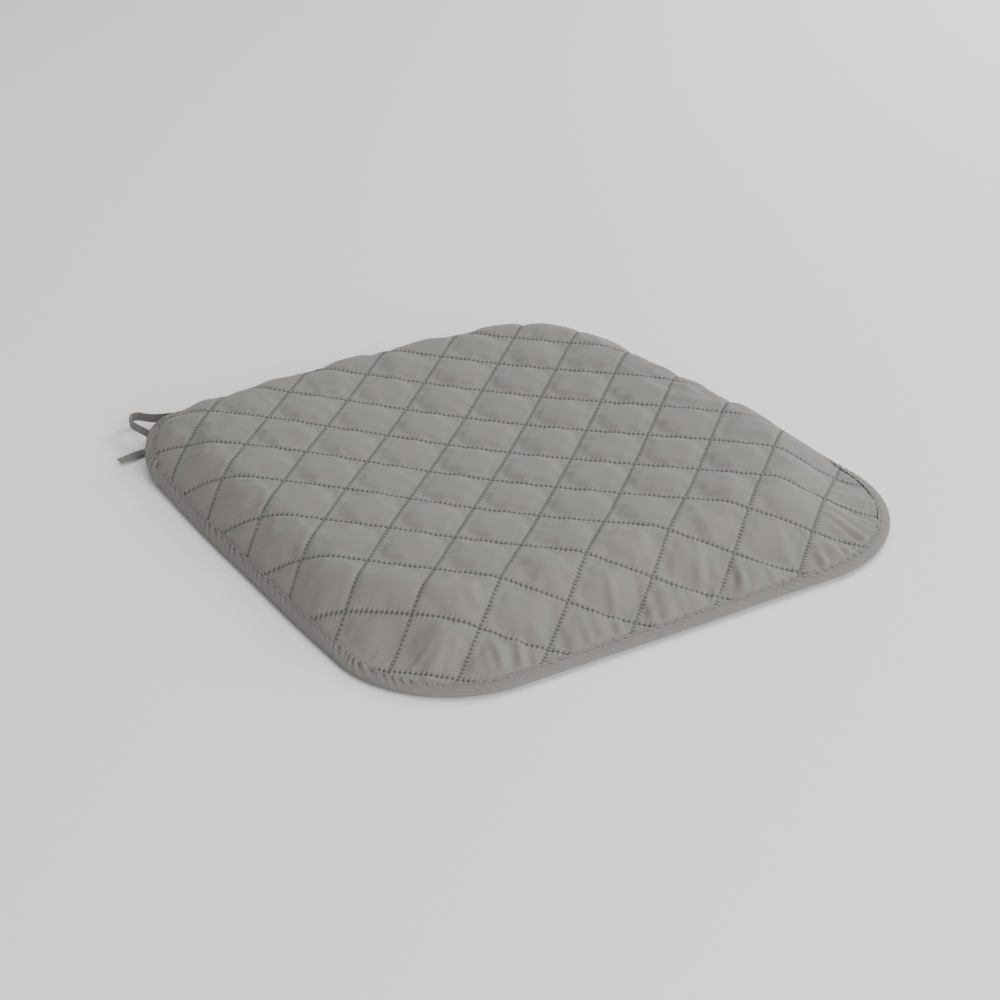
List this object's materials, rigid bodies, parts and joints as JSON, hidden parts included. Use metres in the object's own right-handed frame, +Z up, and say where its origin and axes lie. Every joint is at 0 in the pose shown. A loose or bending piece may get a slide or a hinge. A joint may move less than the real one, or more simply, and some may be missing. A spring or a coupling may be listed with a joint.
{
  "type": "chair seat pad",
  "caption": "Quilted square chair seat pad with round corners, foam core, bound edge and tape ties at both back corners.",
  "frame": {"origin": "on the surface the pad lies on, under the middle of its outline", "axes": "+Z up, +Y towards the back edge where the ties are, +X to the right seen from the front"},
  "size_m": [0.3988, 0.4366, 0.0323],
  "materials": {
    "cover_fabric": "matte brushed microfibre",
    "binding_tape": "matte woven bias tape",
    "tie_tape": "matte woven tape",
    "lining": "matte plain weave",
    "wadding": "loose polyester fibre",
    "foam": "open-cell polyurethane foam",
    "thread": "spun polyester thread"
  },
  "bodies": {
    "root": {"binding_stitching_top": "thread", "binding_stitching_under": "thread", "bottom_cover": "lining", "edge_binding": "binding_tape", "foam_core": "foam", "quilted_top_cover": "cover_fabric", "quilting_seam_back_01": "thread", "quilting_seam_back_02": "thread", "quilting_seam_back_03": "thread", "quilting_seam_back_04": "thread", "quilting_seam_back_05": "thread", "quilting_seam_back_06": "thread", "quilting_seam_back_07": "thread", "quilting_seam_back_08": "thread", "quilting_seam_back_09": "thread", "quilting_seam_back_10": "thread", "quilting_seam_back_11": "thread", "quilting_seam_forward_01": "thread", "quilting_seam_forward_02": "thread", "quilting_seam_forward_03": "thread", "quilting_seam_forward_04": "thread", "quilting_seam_forward_05": "thread", "quilting_seam_forward_06": "thread", "quilting_seam_forward_07": "thread", "quilting_seam_forward_08": "thread", "quilting_seam_forward_09": "thread", "quilting_seam_forward_10": "thread", "quilting_seam_forward_11": "thread", "tie_left_loop": "tie_tape", "tie_left_tail": "tie_tape", "tie_right_outer": "tie_tape", "tie_right_tail": "tie_tape", "tie_tack_left_inner": "thread", "tie_tack_left_outer": "thread", "tie_tack_right_inner": "thread", "tie_tack_right_outer": "thread", "top_wadding": "wadding"}
  },
  "joints": []
}
